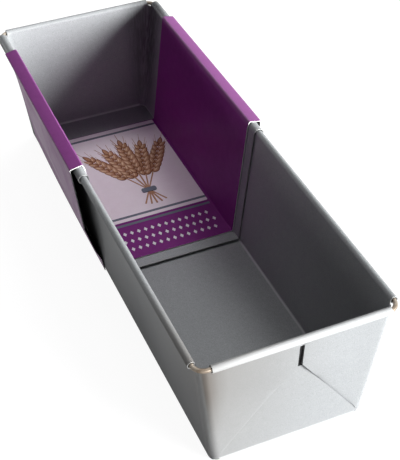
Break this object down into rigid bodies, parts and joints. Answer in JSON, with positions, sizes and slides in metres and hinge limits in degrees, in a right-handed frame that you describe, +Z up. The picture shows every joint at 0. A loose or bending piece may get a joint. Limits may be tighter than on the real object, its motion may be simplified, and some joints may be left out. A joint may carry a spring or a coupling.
{
  "type": "adjustable loaf pan",
  "caption": "Loaf pan in two folded sheet-steel halves with wired, rolled rims; the inner half slides in the outer to set the length, with a printed card over it.",
  "frame": {"origin": "on the resting plane, under the middle of the pan's length and width as it stands at rest", "axes": "+Y along the pan, from the outer pan's end wall to the inner pan's; +X across it; +Z up"},
  "size_m": [0.1184, 0.3338, 0.0827],
  "materials": {
    "coated_steel": "satin silver-grey non-stick coating on sheet steel",
    "rim_wire": "plain drawn wire, slightly tarnished",
    "printed_card": "purple print with a glossy film, white cut edges"
  },
  "bodies": {
    "outer_half": {"outer_pan": "coated_steel", "outer_rim_wire": "rim_wire"},
    "inner_half": {"inner_pan": "coated_steel", "inner_rim_wire": "rim_wire", "card_insert": "printed_card"}
  },
  "joints": [
    {"name": "length_slide", "type": "slide", "parent": "outer_half", "child": "inner_half", "axis": [0, 1, 0], "range_m": [-0.124, 0.018]}
  ]
}
